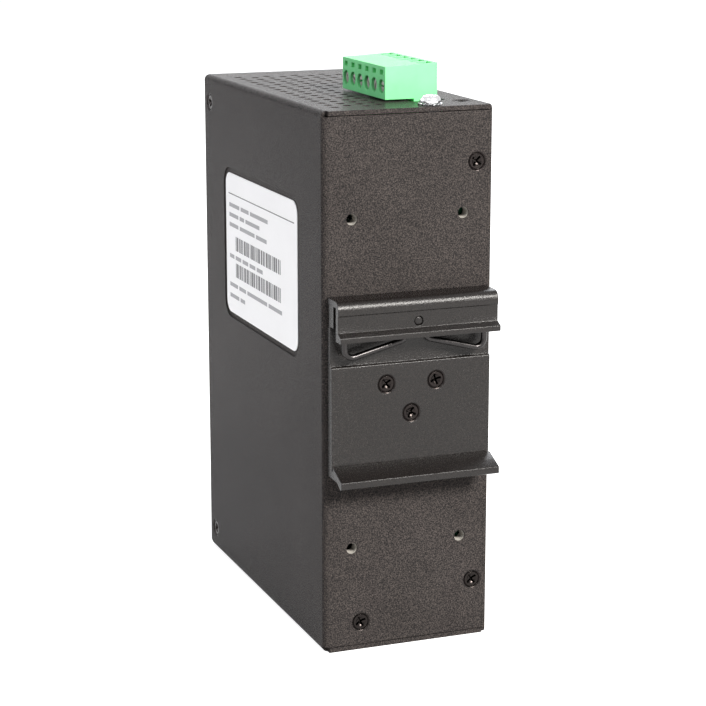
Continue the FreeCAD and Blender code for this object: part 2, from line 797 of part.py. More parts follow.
def make_jack(port):
    """Shielded network jack that stands on the board, its socket open to the front."""
    body = new_body("jack_%d" % (port + 1))
    middle = jack_z(port)
    ceiling = "board_face + socket_lift + latch_tall + socket_tall"
    block(body, "Additive", "jack_case_%d" % port, ("jack_tall", "jack_deep", "jack_wide"),
          ("board_face", "front", middle + " - jack_wide / 2"))
    block(body, "Subtractive", "socket_%d" % port, ("socket_tall", "socket_deep", "socket_wide"),
          (ceiling + " - socket_tall", "front", middle + " - socket_wide / 2"))
    block(body, "Subtractive", "latch_way_%d" % port, ("latch_tall", "socket_deep", "latch_wide"),
          ("board_face + socket_lift", "front", middle + " - latch_wide / 2"))
    return body


def make_jack_contacts():
    """Gold contact wires: each comes out of the socket's roof and slopes to its back wall."""
    ceiling = "board_face + socket_lift + latch_tall + socket_tall"
    body = new_body("contact")
    sketch = sketch_on(body, "contact_sketch", "XY_Plane", "-contact_wide / 2")
    back = "front + socket_deep"
    outline(sketch, [(ceiling, "front + 2.6"), (ceiling, "front + 3.6"),
                     (ceiling + " - contact_drop + 0.3", back), (ceiling + " - contact_drop", back)])
    pad(body, "contact_strip", sketch, "contact_wide")
    spots = []
    for port in range(PORTS):
        for i in range(CONTACTS):
            offset = "%s + contact_pitch * %g" % (jack_z(port), i - (CONTACTS - 1) / 2)
            spots.append((("0", "0", offset), None))
    return group("contacts_group", copies(body, "contact_wire", spots))


def make_light_pipes():
    """Clear pipes from the board's lamps to the front: a foot on the board and a square bar."""
    pieces = []
    for lamp in range(LAMPS):
        low = lamp_z(lamp) + " - lamp_wide / 2"
        bar = part_box("pipe_bar_%d" % lamp, ("lamp_wide", "lamp_long", "lamp_wide"),
                       ("board_face + lamp_out", "front", low))
        foot = part_box("pipe_foot_%d" % lamp, ("lamp_out", "lamp_wide", "lamp_wide"),
                        ("board_face", "front + lamp_long - lamp_wide", low))
        pieces.append(joined("pipe_%d" % lamp, [bar, foot]))
    return group("pipes_group", pieces)


# ---------------------------------------------------------------- terminal block

def make_terminal_header():
    body = new_body("terminal_header")
    block(body, "Additive", "header_case",
          ("plug_stem + 2 * header_wall + 2 * plug_fit", "plug_long + 2 * header_wall + 2 * plug_fit", "header_tall"),
          ("board_face", "plug_rear - plug_long - header_wall - plug_fit", "header_low"))
    block(body, "Subtractive", "header_well",
          ("plug_stem + 2 * plug_fit", "plug_long + 2 * plug_fit", "header_tall"),
          ("board_face + header_wall", "plug_rear - plug_long - plug_fit", "header_low + header_floor"))
    for pole in range(POLES):
        block(body, "Subtractive", "header_pin_hole_%d" % pole,
              ("pin_wide + 2 * pin_slack", "pin_wide + 2 * pin_slack", "header_floor"),
              ("pin_axis - pin_wide / 2 - pin_slack", pole_y(pole) + " - pin_wide / 2 - pin_slack", "header_low"))
    return body


def make_header_pins():
    """Square pins bent from the board up into the plug."""
    body = new_body("header_pin")
    sketch = sketch_on(body, "pin_sketch", "XZ_Plane", "-pin_wide / 2")
    outline(sketch, [("pin_axis - pin_wide / 2", "pin_top"), ("pin_axis - pin_wide / 2", "pin_foot + pin_wide"),
                     ("board_rear_face - 1.5 * pin_wide", "pin_foot + pin_wide"),
                     ("board_rear_face - 1.5 * pin_wide", "pin_foot"),
                     ("pin_axis + pin_wide / 2", "pin_foot"), ("pin_axis + pin_wide / 2", "pin_top")])
    pad(body, "pin_bar", sketch, "pin_wide")
    spots = [(("0", pole_y(pole), "0"), None) for pole in range(POLES)]
    return group("header_pins_group", copies(body, "header_pin_bar", spots))


def make_terminal_plug():
    """Pull-off plug: screws in its side, wire holes in its top, a stem that fits the header."""
    body = new_body("terminal_plug")
    sketch = sketch_on(body, "plug_sketch", "XZ_Plane", "-(plug_rear)")
    outline(sketch, [("plug_left", "stem_low"), ("plug_left + plug_stem", "stem_low"),
                     ("plug_left + plug_stem", "plug_low"), ("plug_right", "plug_low"),
                     ("plug_right", "plug_low + plug_tall"), ("plug_left", "plug_low + plug_tall + plug_rise")])
    pad(body, "plug_case", sketch, "plug_long")
    for pole in range(POLES):
        y = pole_y(pole)
        drill(body, "screw_bore_%d" % pole, "screw_bore", "plug_thick - wire_hole_in - chamber_in",
              ("plug_right", y, "bore_axis"), OUT_LEFT)
        block(body, "Subtractive", "window_%d" % pole, ("window_deep", "window_wide", "window_tall"),
              ("plug_right - window_deep", y + " - window_wide / 2", "plug_low + window_high - window_tall / 2"))
        block(body, "Subtractive", "wire_hole_%d" % pole, ("wire_hole_deep", "wire_hole", "plug_tall + plug_rise"),
              ("chamber_left", y + " - wire_hole / 2", "chamber_low"))
        block(body, "Subtractive", "chamber_%d" % pole, ("chamber_in", "wire_hole", "chamber_tall"),
              ("chamber_left", y + " - wire_hole / 2", "chamber_low"))
        block(body, "Subtractive", "pin_slot_%d" % pole,
              ("pin_wide + 2 * slot_slack", "pin_wide + 2 * slot_slack", "plug_low - pin_short / 2 - stem_low"),
              ("pin_axis - pin_wide / 2 - slot_slack", y + " - pin_wide / 2 - slot_slack", "stem_low"))
    return body


def make_clamp_cages():
    """Clamp cages: square sleeves in the plug's chambers, open to the wires above."""
    sleeve = part_box("cage_sleeve", ("chamber_in - 2 * seat_play", "wire_hole - 2 * seat_play",
                                      "chamber_tall - 2 * seat_play"),
                      ("chamber_left + seat_play", "-wire_hole / 2 + seat_play", "chamber_low + seat_play"))
    way = part_box("cage_way", ("chamber_in - 2 * cage_wall", "wire_hole - 2 * cage_wall", "chamber_tall"),
                   ("chamber_left + cage_wall", "-wire_hole / 2 + cage_wall", "chamber_low"))
    master = cut_from("cage", sleeve, way)
    spots = [(("0", pole_y(pole), "0"), None) for pole in range(POLES)]
    return group("cages_group", copies(master, "clamp_cage", spots))


def make_clamp_screws():
    """Slotted clamp screws in the plug's side, each up to its cage."""
    rod = prism("clamp_rod", "clamp_screw", "plug_thick - clamp_sunk - wire_hole_in - chamber_in",
                ("plug_right - clamp_sunk", "0", "bore_axis"), OUT_LEFT)
    slot = part_box("clamp_slot_box", ("clamp_slot", "2 * clamp_screw + cut_past", "clamp_slot"),
                    ("plug_right - clamp_sunk - clamp_slot", "-clamp_screw - cut_past / 2",
                     "bore_axis - clamp_slot / 2"))
    master = cut_from("clamp_screw_bar", rod, slot)
    spots = [(("0", pole_y(pole), "0"), None) for pole in range(POLES)]
    return group("clamp_screws_group", copies(master, "clamp_screw_copy", spots))


# ---------------------------------------------------------------- parts on the board

def make_chip():
    return part_box("chip_case", ("chip_thick", "chip_side", "chip_side"),
                    ("board_face", "rear - chip_back - chip_side / 2", "chip_high - chip_side / 2"))


def make_heat_sink():
    low = ("rear - chip_back - chip_side / 2", "chip_high - chip_side / 2")
    base = part_box("sink_plate", ("sink_base", "chip_side", "chip_side"), ("board_face + chip_thick",) + low)
    fins = []
    for i in range(FINS):
        y = low[0] + " + (chip_side - fin_thick) * %g" % (i / (FINS - 1))
        fins.append(part_box("fin_%d" % i, ("sink_base + sink_tall", "fin_thick", "chip_side"),
                             ("board_face + chip_thick", y, low[1])))
    return joined("sink", [base] + fins)


def make_capacitors():
    cans = []
    for i in range(2):
        cans.append(prism("can_%d" % i, "can_radius", "can_tall",
                          ("board_face", "rear - can_back - can_pitch * %d" % i, "can_high"), OUT_RIGHT))
    return group("cans_group", cans)


def make_inductor():
    return part_box("coil_case", ("coil_tall", "coil_side", "coil_side"),
                    ("board_face", "rear - coil_back - coil_side / 2", "coil_high - coil_side"))


def make_magnetics():
    cases = []
    for port in range(PORTS):
        cases.append(part_box("magnetics_%d" % port, ("magnetics_tall", "magnetics_long", "magnetics_wide"),
                              ("board_face", "front + jack_deep + magnetics_gap", jack_z(port) + " - magnetics_wide / 2")))
    return group("magnetics_group", cases)


# ---------------------------------------------------------------- build

gauge = doc.addObject("App::Placement", "gauge")
seat_ends = ("head_radius + seat_play", "screw_hole")
short_seat = countersunk("short_seat", *seat_ends, "screw_length + cut_past")
long_seat = countersunk("long_seat", *seat_ends, "clip_plate + sheet_wall + nut_thick + cut_past")
node(make_case_shell(), "case_shell")
node(make_side_cover(), "side_cover")
node(make_front_panel(), "front_panel")
node(make_label(), "side_label")
make_fasteners()
node(make_ground_washer(), "ground_washer")
node(make_din_clip(), "din_clip")
node(make_spring_pin(), "spring_pin")
node(make_spring_wire(), "spring_wire")
node(make_board(), "main_board")
node(make_posts(), "board_posts")
for port_number in range(PORTS):
    node(make_jack(port_number), "network_jack_%d" % (port_number + 1))
node(make_jack_contacts(), "jack_contacts")
node(make_light_pipes(), "light_pipes")
node(make_terminal_header(), "terminal_header")
node(make_header_pins(), "header_pins")
node(make_terminal_plug(), "terminal_plug")
node(make_clamp_cages(), "clamp_cages")
node(make_clamp_screws(), "clamp_screws")
node(make_chip(), "switch_chip")
node(make_heat_sink(), "heat_sink")
node(make_capacitors(), "input_capacitors")
node(make_inductor(), "power_inductor")
node(make_magnetics(), "magnetics")
doc.recompute()

for thing in doc.Objects:
    if "Invalid" in thing.State or "Error" in thing.State:
        raise RuntimeError("%s failed: %s" % (thing.Name, thing.State))
for thing in nodes:
    if thing.Shape.isNull() or not thing.Shape.isValid() or not thing.Shape.Solids:
        raise RuntimeError("%s has no sound solid" % thing.Label)
for thing in nodes:
    thing.Shape.exportStep("parts/%s.step" % thing.Label)
    print("%-20s %3d solids %9.1f mm3" % (thing.Label, len(thing.Shape.Solids), thing.Shape.Volume))
whole = Part.makeCompound([thing.Shape for thing in nodes]).BoundBox
print("box %.2f %.2f %.2f to %.2f %.2f %.2f" % (whole.XMin, whole.YMin, whole.ZMin, whole.XMax, whole.YMax, whole.ZMax))
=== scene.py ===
import json
import math

import bmesh
import bpy
from mathutils import Euler, Matrix, Vector


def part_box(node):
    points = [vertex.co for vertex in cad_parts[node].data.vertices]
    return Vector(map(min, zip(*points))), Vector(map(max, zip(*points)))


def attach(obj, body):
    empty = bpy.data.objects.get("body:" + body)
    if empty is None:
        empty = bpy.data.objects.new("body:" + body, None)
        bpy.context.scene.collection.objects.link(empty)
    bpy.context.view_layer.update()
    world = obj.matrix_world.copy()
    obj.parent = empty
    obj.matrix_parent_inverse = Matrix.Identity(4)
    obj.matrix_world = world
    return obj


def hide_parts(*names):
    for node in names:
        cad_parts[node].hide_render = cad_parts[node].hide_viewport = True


# Looks of a DIN rail Ethernet switch: powder-coated case, anodised rail clip, bent spring wire,
# cross-head screws, label with a generic print and pull-off green terminal block.
# Lengths are in metres, except where a docstring or a comment says millimetres.

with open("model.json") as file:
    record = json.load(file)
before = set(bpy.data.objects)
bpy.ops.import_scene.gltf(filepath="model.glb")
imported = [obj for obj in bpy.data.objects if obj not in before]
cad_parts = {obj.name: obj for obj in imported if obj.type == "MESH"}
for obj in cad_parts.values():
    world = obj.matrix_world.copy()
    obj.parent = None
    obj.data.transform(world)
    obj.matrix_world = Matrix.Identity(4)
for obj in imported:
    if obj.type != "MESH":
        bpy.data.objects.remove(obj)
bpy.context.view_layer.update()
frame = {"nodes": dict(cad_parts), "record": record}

MM = 0.001
SIDE, BACK, UP = Vector((1, 0, 0)), Vector((0, 1, 0)), Vector((0, 0, 1))
CASE_LOW, CASE_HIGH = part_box("case_shell")


# ---------------------------------------------------------------- shader helpers

TINT_BAND = (0.35, 0.65)     # where most of a noise's values lie
ROUGH_BAND = (0.3, 0.7)
BEVEL_SAMPLES = 6


def grey(level):
    """Colour of three equal parts."""
    return (level, level, level)


class Look:
    """A procedural material on one Principled shader."""

    def __init__(self, name, color, roughness, metallic=0.0, **sockets):
        self.material = bpy.data.materials.new(name)
        self.material.use_nodes = True
        self.nodes = self.material.node_tree.nodes
        self.links = self.material.node_tree.links
        self.inputs = self.nodes["Principled BSDF"].inputs
        self.color = color
        self.inputs["Base Color"].default_value = (*color, 1)
        self.inputs["Roughness"].default_value = roughness
        self.inputs["Metallic"].default_value = metallic
        for socket, value in sockets.items():
            self.inputs[socket.replace("_", " ")].default_value = value
        self.place = self.nodes.new("ShaderNodeTexCoord").outputs["Object"]

    def noise(self, size, detail=3, roughness=0.6, stretch=None):
        """Noise with features of about size; a small number in stretch draws it out that way."""
        texture = self.nodes.new("ShaderNodeTexNoise")
        texture.inputs["Scale"].default_value = 1.0 / size
        texture.inputs["Detail"].default_value = detail
        texture.inputs["Roughness"].default_value = roughness
        source = self.place
        if stretch:
            mapping = self.nodes.new("ShaderNodeMapping")
            mapping.inputs["Scale"].default_value = stretch
            self.links.new(self.place, mapping.inputs["Vector"])
            source = mapping.outputs["Vector"]
        self.links.new(source, texture.inputs["Vector"])
        return texture.outputs["Fac"]

    def spread(self, value, band, low, high):
        """Map a band of the value's range to low and high."""
        remap = self.nodes.new("ShaderNodeMapRange")
        for socket, number in zip(("From Min", "From Max", "To Min", "To Max"), (*band, low, high)):
            remap.inputs[socket].default_value = number
        self.links.new(value, remap.inputs["Value"])
        return remap.outputs["Result"]

    def mix(self, factor, first, second, blend="MIX"):
        """Mix two colours; each argument is a plain value or another node's output."""
        node = self.nodes.new("ShaderNodeMix")
        node.data_type = "RGBA"
        node.blend_type = blend
        for socket, value in (("Factor", factor), ("A", first), ("B", second)):
            if isinstance(value, bpy.types.NodeSocket):
                self.links.new(value, node.inputs[socket])
            else:
                node.inputs[socket].default_value = value
        return node.outputs["Result"]

    def tint(self, value, dark, light, band=TINT_BAND):
        """Vary the base colour between two multiples of itself; a second call adds to the first."""
        factor = self.spread(value, band, 0, 1) if band else value
        base = self.inputs["Base Color"]
        if base.is_linked:
            change = self.mix(factor, (*dark, 1), (*light, 1))
            result = self.mix(1.0, base.links[0].from_socket, change, blend="MULTIPLY")
        else:
            result = self.mix(factor, *((*(c * m for c, m in zip(self.color, multiple)), 1)
                                        for multiple in (dark, light)))
        self.links.new(result, base)

    def rough(self, value, low, high):
        """Vary the roughness between low and high."""
        self.links.new(self.spread(value, ROUGH_BAND, low, high), self.inputs["Roughness"])

    def relief(self, height, depth, edge=0.0):
        """Bump from a height, over edges that read as rounded by a small radius."""
        bump = self.nodes.new("ShaderNodeBump")
        bump.inputs["Strength"].default_value = 1.0
        bump.inputs["Distance"].default_value = depth
        self.links.new(height, bump.inputs["Height"])
        if edge:
            bevel = self.nodes.new("ShaderNodeBevel")
            bevel.samples = BEVEL_SAMPLES
            bevel.inputs["Radius"].default_value = edge
            self.links.new(bevel.outputs["Normal"], bump.inputs["Normal"])
        self.links.new(bump.outputs["Normal"], self.inputs["Normal"])


# ---------------------------------------------------------------- materials

def powder_coat():
    """Dark paint with a fine grain of brownish specks; their bright end is also painted glints."""
    look = Look("powder_coat", (0.0265, 0.0252, 0.0259), roughness=0.2, Specular_IOR_Level=0.012)
    grain = look.noise(0.00032, roughness=0.75)
    patches = look.noise(0.022, detail=2)
    # Painted glints: the grain's light end lifts the colour up to three and a half times, on top of
    # the paint's own specks.
    look.tint(grain, dark=grey(0.66), light=(3.5, 3.15, 2.85), band=(0.43, 0.68))
    look.tint(patches, dark=grey(0.93), light=grey(1.07))
    look.rough(grain, low=0.17, high=0.26)
    look.relief(grain, depth=0.00012, edge=0.0003)
    return look.material


def anodised():
    """Black anodised aluminium with faint lines along the extrusion."""
    look = Look("anodised_black", (0.0084, 0.0072, 0.0069), roughness=0.26, Specular_IOR_Level=0.32)
    grain = look.noise(0.0003, roughness=0.7)
    drawn = look.noise(0.0006, stretch=(0.02, 1, 1))
    look.tint(grain, dark=grey(0.65), light=(1.75, 1.65, 1.55), band=(0.4, 0.66))
    look.tint(drawn, dark=grey(0.96), light=grey(1.04))
    look.rough(grain, low=0.22, high=0.3)
    look.relief(grain, depth=0.00006, edge=0.0002)
    return look.material


def plated(name, color, roughness, metallic=1.0, edge=0.00012):
    """Metal or a plated surface."""
    look = Look(name, color, roughness, metallic)
    grain = look.noise(0.0004, detail=2)
    look.tint(grain, dark=grey(0.9), light=grey(1.08))
    look.rough(look.noise(0.0012, detail=2), low=roughness * 0.8, high=roughness * 1.25)
    look.relief(grain, depth=0.000008, edge=edge)
    return look.material


def moulded(name, color, roughness, edge=0.00025, **sockets):
    """Plastic, or another surface that is even and not metal."""
    look = Look(name, color, roughness, **sockets)
    grain = look.noise(0.0003, detail=2)
    look.tint(look.noise(0.006, detail=2), dark=grey(0.95), light=grey(1.04))
    look.rough(grain, low=roughness * 0.85, high=roughness * 1.2)
    look.relief(grain, depth=0.00001, edge=edge)
    return look.material


def label_stock():
    """White label film."""
    look = Look("label_stock", grey(0.93), roughness=0.38)
    fibre = look.noise(0.0005)
    look.tint(look.noise(0.012, detail=2), dark=grey(0.975), light=grey(1.0))
    look.rough(fibre, low=0.34, high=0.46)
    look.relief(fibre, depth=0.000006)
    return look.material


def ink(name, color, dark, light):
    """Print on the label, uneven by a little."""
    look = Look(name, color, roughness=0.5)
    look.tint(look.noise(0.0008), grey(dark), grey(light), band=None)
    return look.material


LOOKS = {
    "case_paint": powder_coat(),
    "clip_black": anodised(),
    "dark_screw": plated("black_zinc", (0.024, 0.0205, 0.0195), 0.24, edge=0.00005),
    "bright_steel": plated("bright_zinc", (0.78, 0.79, 0.8), 0.2),
    "spring_steel": plated("spring_steel", (0.04, 0.038, 0.038), 0.26),
    "tinned": plated("tinned", (0.45, 0.43, 0.4), 0.34, metallic=0.4),
    "jack_shield": plated("jack_shield", (0.66, 0.66, 0.64), 0.28),
    "contact_gold": plated("contact_gold", (0.83, 0.62, 0.26), 0.22),
    "can_silver": plated("can_silver", (0.72, 0.72, 0.73), 0.3),
    "sink_black": plated("sink_black", (0.05, 0.05, 0.055), 0.45),
    "label_white": label_stock(),
    "terminal_green": moulded("terminal_green", (0.22, 0.79, 0.32), 0.42, Specular_IOR_Level=0.08),
    "light_pipe": moulded("light_pipe", (0.78, 0.84, 0.82), 0.15),
    "nylon": moulded("nylon", (0.7, 0.69, 0.64), 0.4),
    "chip_black": moulded("chip_black", (0.022, 0.022, 0.024), 0.5),
    "ferrite": moulded("ferrite", (0.075, 0.075, 0.078), 0.6),
    # Dark green board, taken darker than its own colour as painted shade where it shows through the
    # case's holes.
    "board_green": moulded("board_green", (0.006, 0.055, 0.026), 0.3),
}

for entry in frame["record"]["subparts"]:
    mesh = frame["nodes"][entry["node"]].data
    mesh.materials.clear()
    mesh.materials.append(LOOKS[entry["material_slot"]])


# ---------------------------------------------------------------- mesh helpers

SHARP_ANGLE = math.radians(35)
WELD_GAP = 0.0004 * MM       # corners closer than this are one corner
SEAM_GAP = 1e-7              # the same for the seam of a turned mesh
CAD_GAP = 1e-6               # the same for a CAD mesh, whose faces don't share corners
BOX_FACES = ((0, 1, 3, 2), (4, 6, 7, 5), (0, 4, 5, 1), (2, 3, 7, 6), (0, 2, 6, 4), (1, 5, 7, 3))


def box_of(node):
    """Low and high corner of a CAD node."""
    return tuple(Vector(corner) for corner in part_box(node))


def new_piece(name, mesh, slot, body="switch", smooth=True, material=None):
    """Put a finished mesh in the scene, with its material (the slot's look unless one is given) and
    its body.
    """
    piece = bpy.data.objects.new(name, mesh)
    bpy.context.collection.objects.link(piece)
    mesh.materials.clear()
    mesh.materials.append(material or LOOKS[slot])
    if smooth:
        mesh.shade_smooth()
        mesh.set_sharp_from_angle(angle=SHARP_ANGLE)
    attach(piece, body)
    return piece


def mesh_from(bm, name):
    """Turn bm into a mesh and free it."""
    mesh = bpy.data.meshes.new(name)
    bm.to_mesh(mesh)
    bm.free()
    return mesh


def weld(bm):
    """Join corners that lie on one another; take out the faces that this leaves without area."""
    bmesh.ops.remove_doubles(bm, verts=bm.verts, dist=WELD_GAP)
    bmesh.ops.dissolve_degenerate(bm, edges=bm.edges, dist=WELD_GAP)


def bridge(bm, first, second):
    """Join two rings of as many vertices by a band of faces."""
    for i in range(len(first)):
        j = (i + 1) % len(first)
        bm.faces.new((first[i], first[j], second[j], second[i]))


def lathe_mesh(name, profile, steps=48):
    """Mesh of a (radius, z) profile in millimetres, turned about Z."""
    bm = bmesh.new()
    points = [bm.verts.new((r * MM, 0, z * MM)) for r, z in profile]
    edges = [bm.edges.new(pair) for pair in zip(points, points[1:])]
    bmesh.ops.spin(bm, geom=points + edges, axis=(0, 0, 1), cent=(0, 0, 0), steps=steps,
                   angle=math.tau, use_merge=True)
    bmesh.ops.remove_doubles(bm, verts=bm.verts, dist=SEAM_GAP)
    bmesh.ops.recalc_face_normals(bm, faces=bm.faces)
    return mesh_from(bm, name)


def prism_mesh(name, ring, low, high, taper=1.0):
    """Mesh of a ring of (x, y) points in millimetres between two heights, smaller at the low."""
    bm = bmesh.new()
    bottom = [bm.verts.new((x * taper * MM, y * taper * MM, low * MM)) for x, y in ring]
    top = [bm.verts.new((x * MM, y * MM, high * MM)) for x, y in ring]
    bm.faces.new(bottom[::-1])
    bm.faces.new(top)
    bridge(bm, bottom, top)
    return mesh_from(bm, name)


def box_mesh(low, high, round_by=0.0):
    """Mesh of a box between two corners, with its edges rounded if asked."""
    bm = bmesh.new()
    verts = [bm.verts.new((x, y, z))
             for x in (low.x, high.x) for y in (low.y, high.y) for z in (low.z, high.z)]
    for face in BOX_FACES:
        bm.faces.new([verts[i] for i in face])
    if round_by:
        bmesh.ops.bevel(bm, geom=list(bm.edges), offset=round_by, segments=3, affect="EDGES",
                        profile=0.5)
    bmesh.ops.recalc_face_normals(bm, faces=bm.faces)
    return mesh_from(bm, "box")


def mesh_of_object(item):
    """Mesh of an object with its modifiers or its curve's depth applied."""
    seen = bpy.context.evaluated_depsgraph_get()
    return bpy.data.meshes.new_from_object(item.evaluated_get(seen))


def carve(base, tool):
    """Cut one mesh out of another."""
    body = bpy.data.objects.new("carve_body", base)
    cutter = bpy.data.objects.new("carve_tool", tool)
    for item in (body, cutter):
        bpy.context.collection.objects.link(item)
    cut = body.modifiers.new("cut", "BOOLEAN")
    cut.object = cutter
    cut.solver = "EXACT"
    bpy.context.view_layer.update()
    result = mesh_of_object(body)
    for item in (body, cutter):
        bpy.data.objects.remove(item)
    bm = bmesh.new()
    bm.from_mesh(result)
    weld(bm)
    bm.to_mesh(result)
    bm.free()
    return result


def islands(node):
    """Low and high corners of each separate solid of a CAD node."""
    bm = bmesh.new()
    bm.from_mesh(frame["nodes"][node].data)
    bmesh.ops.remove_doubles(bm, verts=bm.verts, dist=CAD_GAP)
    seen, boxes = set(), []
    for start in bm.verts:
        if start in seen:
            continue
        stack, found = [start], []
        seen.add(start)
        while stack:
            vert = stack.pop()
            found.append(vert.co.copy())
            for edge in vert.link_edges:
                other = edge.other_vert(vert)
                if other not in seen:
                    seen.add(other)
                    stack.append(other)
        boxes.append((Vector(map(min, zip(*found))), Vector(map(max, zip(*found)))))
    bm.free()
    return sorted(boxes, key=lambda box: tuple(round(v, 5) for v in box[0]))


def face_centre(low, high, axis):
    """Middle of the box's face on the side that axis points to."""
    reach = (high - low) / 2
    return (low + high) / 2 + Vector(a * r for a, r in zip(axis, reach))


def stand(centre, axis, turn=0):
    """Matrix that puts local +Z along axis at centre, after a turn in degrees about itself."""
    tilt = UP.rotation_difference(axis).to_matrix().to_4x4()
    return Matrix.Translation(centre) @ tilt @ Matrix.Rotation(math.radians(turn), 4, "Z")


def merge(placed, name):
    """One mesh from (mesh, matrix) pairs."""
    bm = bmesh.new()
    for mesh, matrix in placed:
        copy = mesh.copy()
        copy.transform(matrix)
        bm.from_mesh(copy)
        bpy.data.meshes.remove(copy)
    return mesh_from(bm, name)


# ---------------------------------------------------------------- screws

# In millimetres.
STEM = 1.45                  # radius of a screw's stem
HEAD_FACE = -0.24            # height of a countersunk screw's face from the sheet's
BOWL_WIDE, BOWL_DEEP = 1.3, 0.46
BOWL_LID = 0.3               # how far the bowl's cutter stands out of the screw
CROSS_LID = 0.4


def cross_ring(reach, half):
    """Outline of a cross: arms of the given reach and half width, with cut inner corners."""
    nook = half * 1.45
    quarter = [(reach, -half), (reach, half), (nook, half), (half, nook)]
    ring = []
    for k in range(4):
        c, s = math.cos(k * math.pi / 2), math.sin(k * math.pi / 2)
        ring += [(x * c - y * s, x * s + y * c) for x, y in quarter]
    return ring


def bowl(mouth, steps=8):
    """Profile of a round bowl with its lid above the mouth, to carve with."""
    radius = (BOWL_WIDE * BOWL_WIDE + BOWL_DEEP * BOWL_DEEP) / (2 * BOWL_DEEP)
    reach = math.asin(BOWL_WIDE / radius)
    bottom = mouth - BOWL_DEEP
    angles = [reach * k / steps for k in range(steps + 1)]
    return ([(radius * math.sin(a), bottom + radius * (1 - math.cos(a))) for a in angles]
            + [(BOWL_WIDE, mouth + BOWL_LID), (0, mouth + BOWL_LID)])


def cross_screw(name, profile, mouth, reach=1.75, half=0.36, depth=1.5):
    """Turned screw with a tapered cross recess in a bowl, whose mouth is at the given height."""
    cross = prism_mesh(name + "_cross", cross_ring(reach, half), mouth - depth, mouth + CROSS_LID,
                       taper=0.35)
    base = carve(lathe_mesh(name, profile), cross)
    return carve(base, lathe_mesh(name + "_bowl", bowl(mouth), steps=24))


def countersunk(length):
    """Profile of a countersunk screw: sunk face, groove, raised lip, cone and stem."""
    return [(0, HEAD_FACE), (1.6, HEAD_FACE), (1.94, -0.25), (2.04, -0.5), (2.12, -0.5),
            (2.2, -0.36), (2.3, -0.24), (2.4, -0.17), (2.5, -0.13), (2.56, -0.12), (2.5, -0.25),
            (STEM, -1.28), (STEM, -length), (0, -length)]


def outward(low, high):
    """Which way a screw's head faces: out of the case face that it lies in."""
    gaps = [(abs(CASE_HIGH[0] - high.x), SIDE), (abs(CASE_HIGH[1] - high.y), BACK),
            (abs(CASE_HIGH[2] - high.z), UP), (abs(low.z - CASE_LOW[2]), -UP)]
    return min(gaps, key=lambda item: item[0])[1]


def dress_screws(node, length, turns, axis=None):
    """Countersunk screws in place of a node's plain ones, each left at its own angle."""
    head = cross_screw(node + "_head", countersunk(length), HEAD_FACE)
    placed = []
    for (low, high), turn in zip(islands(node), turns):
        way = axis or outward(low, high)
        placed.append((head, stand(face_centre(low, high, way), way, turn)))
    name = node + "_detail"
    piece = new_piece(name, merge(placed, name), "dark_screw")
    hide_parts(node)


dress_screws("cover_screws", length=5, turns=(20, 64, 12, 75, 38, 52, 28))
dress_screws("front_panel_screws", length=5, turns=(30, 66))
dress_screws("clip_screws", length=6.4, turns=(18, 63, 40), axis=BACK)


# ---------------------------------------------------------------- ground screw and washer

WASHER_SPACE = 0.6           # between the case and the ground screw's head, in millimetres


def dress_ground_screw():
    """Pan head screw on the case's top."""
    low, high = box_of("ground_screw")
    tall = (high.z - CASE_HIGH[2]) / MM - WASHER_SPACE
    profile = [(0, tall), (1.2, tall - 0.02), (2.0, tall - 0.2), (2.5, tall - 0.6),
               (2.72, tall - 1.1), (2.75, tall - 1.5), (2.7, 0.0), (STEM, 0.0), (STEM, -4.0),
               (0, -4.0)]
    screw = cross_screw("ground_head", profile, tall, reach=1.7, half=0.4, depth=1.3)
    seat = Vector(((low.x + high.x) / 2, (low.y + high.y) / 2, CASE_HIGH[2] + WASHER_SPACE * MM))
    mesh = merge([(screw, stand(seat, UP, turn=33))], "ground_screw_detail")
    piece = new_piece("ground_screw_detail", mesh, "bright_steel")
    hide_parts("ground_screw")


def dress_ground_washer():
    """Washer whose outer teeth are each twisted."""
    low, high = box_of("ground_washer")
    teeth, inner, root, tip = 14, 1.6, 2.35, 3.08
    half_thick = 0.16
    twists = (0.0, -0.13, 0.13, 0.0)     # one gap corner, two tooth corners, one gap corner
    count = teeth * len(twists)
    bm = bmesh.new()
    sides = []
    for side in (-1, 1):
        z = side * half_thick
        rings = ([], [], [])
        for i in range(count):
            angle = math.tau * i / count
            twist = twists[i % len(twists)]
            c, s = math.cos(angle), math.sin(angle)
            corners = ((inner, z), (root * 0.97, z), (tip if twist else root, z + twist))
            for ring, (radius, height) in zip(rings, corners):
                ring.append(bm.verts.new((radius * c * MM, radius * s * MM, height * MM)))
        sides.append(rings)
    for rings in sides:
        for near, far in zip(rings, rings[1:]):
            bridge(bm, near, far)
    for k in (0, 2):
        bridge(bm, sides[0][k], sides[1][k])
    bmesh.ops.recalc_face_normals(bm, faces=bm.faces)
    mesh = mesh_from(bm, "ground_washer_detail")
    mesh.transform(Matrix.Translation((low + high) / 2))
    piece = new_piece("ground_washer_detail", mesh, "bright_steel")
    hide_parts("ground_washer")


dress_ground_screw()
dress_ground_washer()


# ---------------------------------------------------------------- press nuts and pin

def ring_of(radius, count):
    """Corners of a regular polygon about the origin."""
    return [(radius * math.cos(math.tau * i / count), radius * math.sin(math.tau * i / count))
            for i in range(count)]


def thread_profile(crest, root, low, high, pitch):
    """Inside of a tapped hole, as (radius, z) points that step from crest to root."""
    turns = int((high - low) / pitch)
    points = []
    for i in range(turns):
        z = low + i * pitch
        points += [(crest, z), (root, z + pitch * 0.5)]
    return points + [(crest, low + turns * pitch)]


